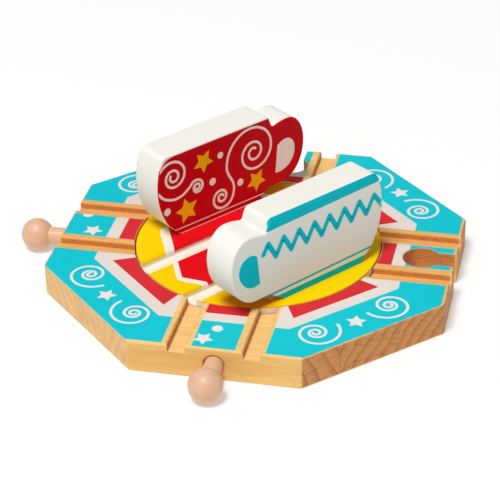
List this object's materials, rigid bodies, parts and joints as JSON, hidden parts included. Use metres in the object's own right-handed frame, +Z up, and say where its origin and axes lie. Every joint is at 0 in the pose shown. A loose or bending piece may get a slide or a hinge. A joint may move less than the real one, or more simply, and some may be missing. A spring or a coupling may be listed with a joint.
{
  "type": "toy railway turntable",
  "caption": "Wooden toy-train turntable: octagonal track crossing with keyhole sockets and ball plugs, and a spinning disc that carries tea-cup shaped slabs either side of its track.",
  "frame": {"origin": "on the turning disc's axis, at ground level, at the mouth of the pivot screw's pocket in the underside of the base", "axes": "+Z up; +X out through the track end with the right-hand keyhole socket; +Y out through the track end with the other socket; the ball plugs are on the -X and -Y ends"},
  "size_m": [0.1635, 0.1635, 0.0463],
  "materials": {
    "base_wood": "clear satin, printed on top",
    "plug_wood": "satin",
    "disc_paint": "painted, semi-gloss",
    "cup_red_paint": "painted, satin",
    "cup_white_paint": "painted, satin",
    "steel": "zinc plated",
    "bush_brass": "plain",
    "glide_plastic": "matte"
  },
  "bodies": {
    "base": {"base_plate": "base_wood", "left_plug": "plug_wood", "front_plug": "plug_wood", "pivot_bush": "bush_brass", "pivot_washer": "steel", "glide_ring": "glide_plastic"},
    "turntable": {"turntable_disc": "disc_paint", "red_cup": "cup_red_paint", "white_cup": "cup_white_paint", "red_cup_screw_1": "steel", "red_cup_screw_2": "steel", "white_cup_screw_1": "steel", "white_cup_screw_2": "steel", "pivot_screw": "steel"}
  },
  "joints": [
    {"name": "turntable_spin", "type": "hinge", "parent": "base", "child": "turntable", "pos_m": [0, 0, 0], "axis": [0, 0, 1], "continuous": true}
  ]
}
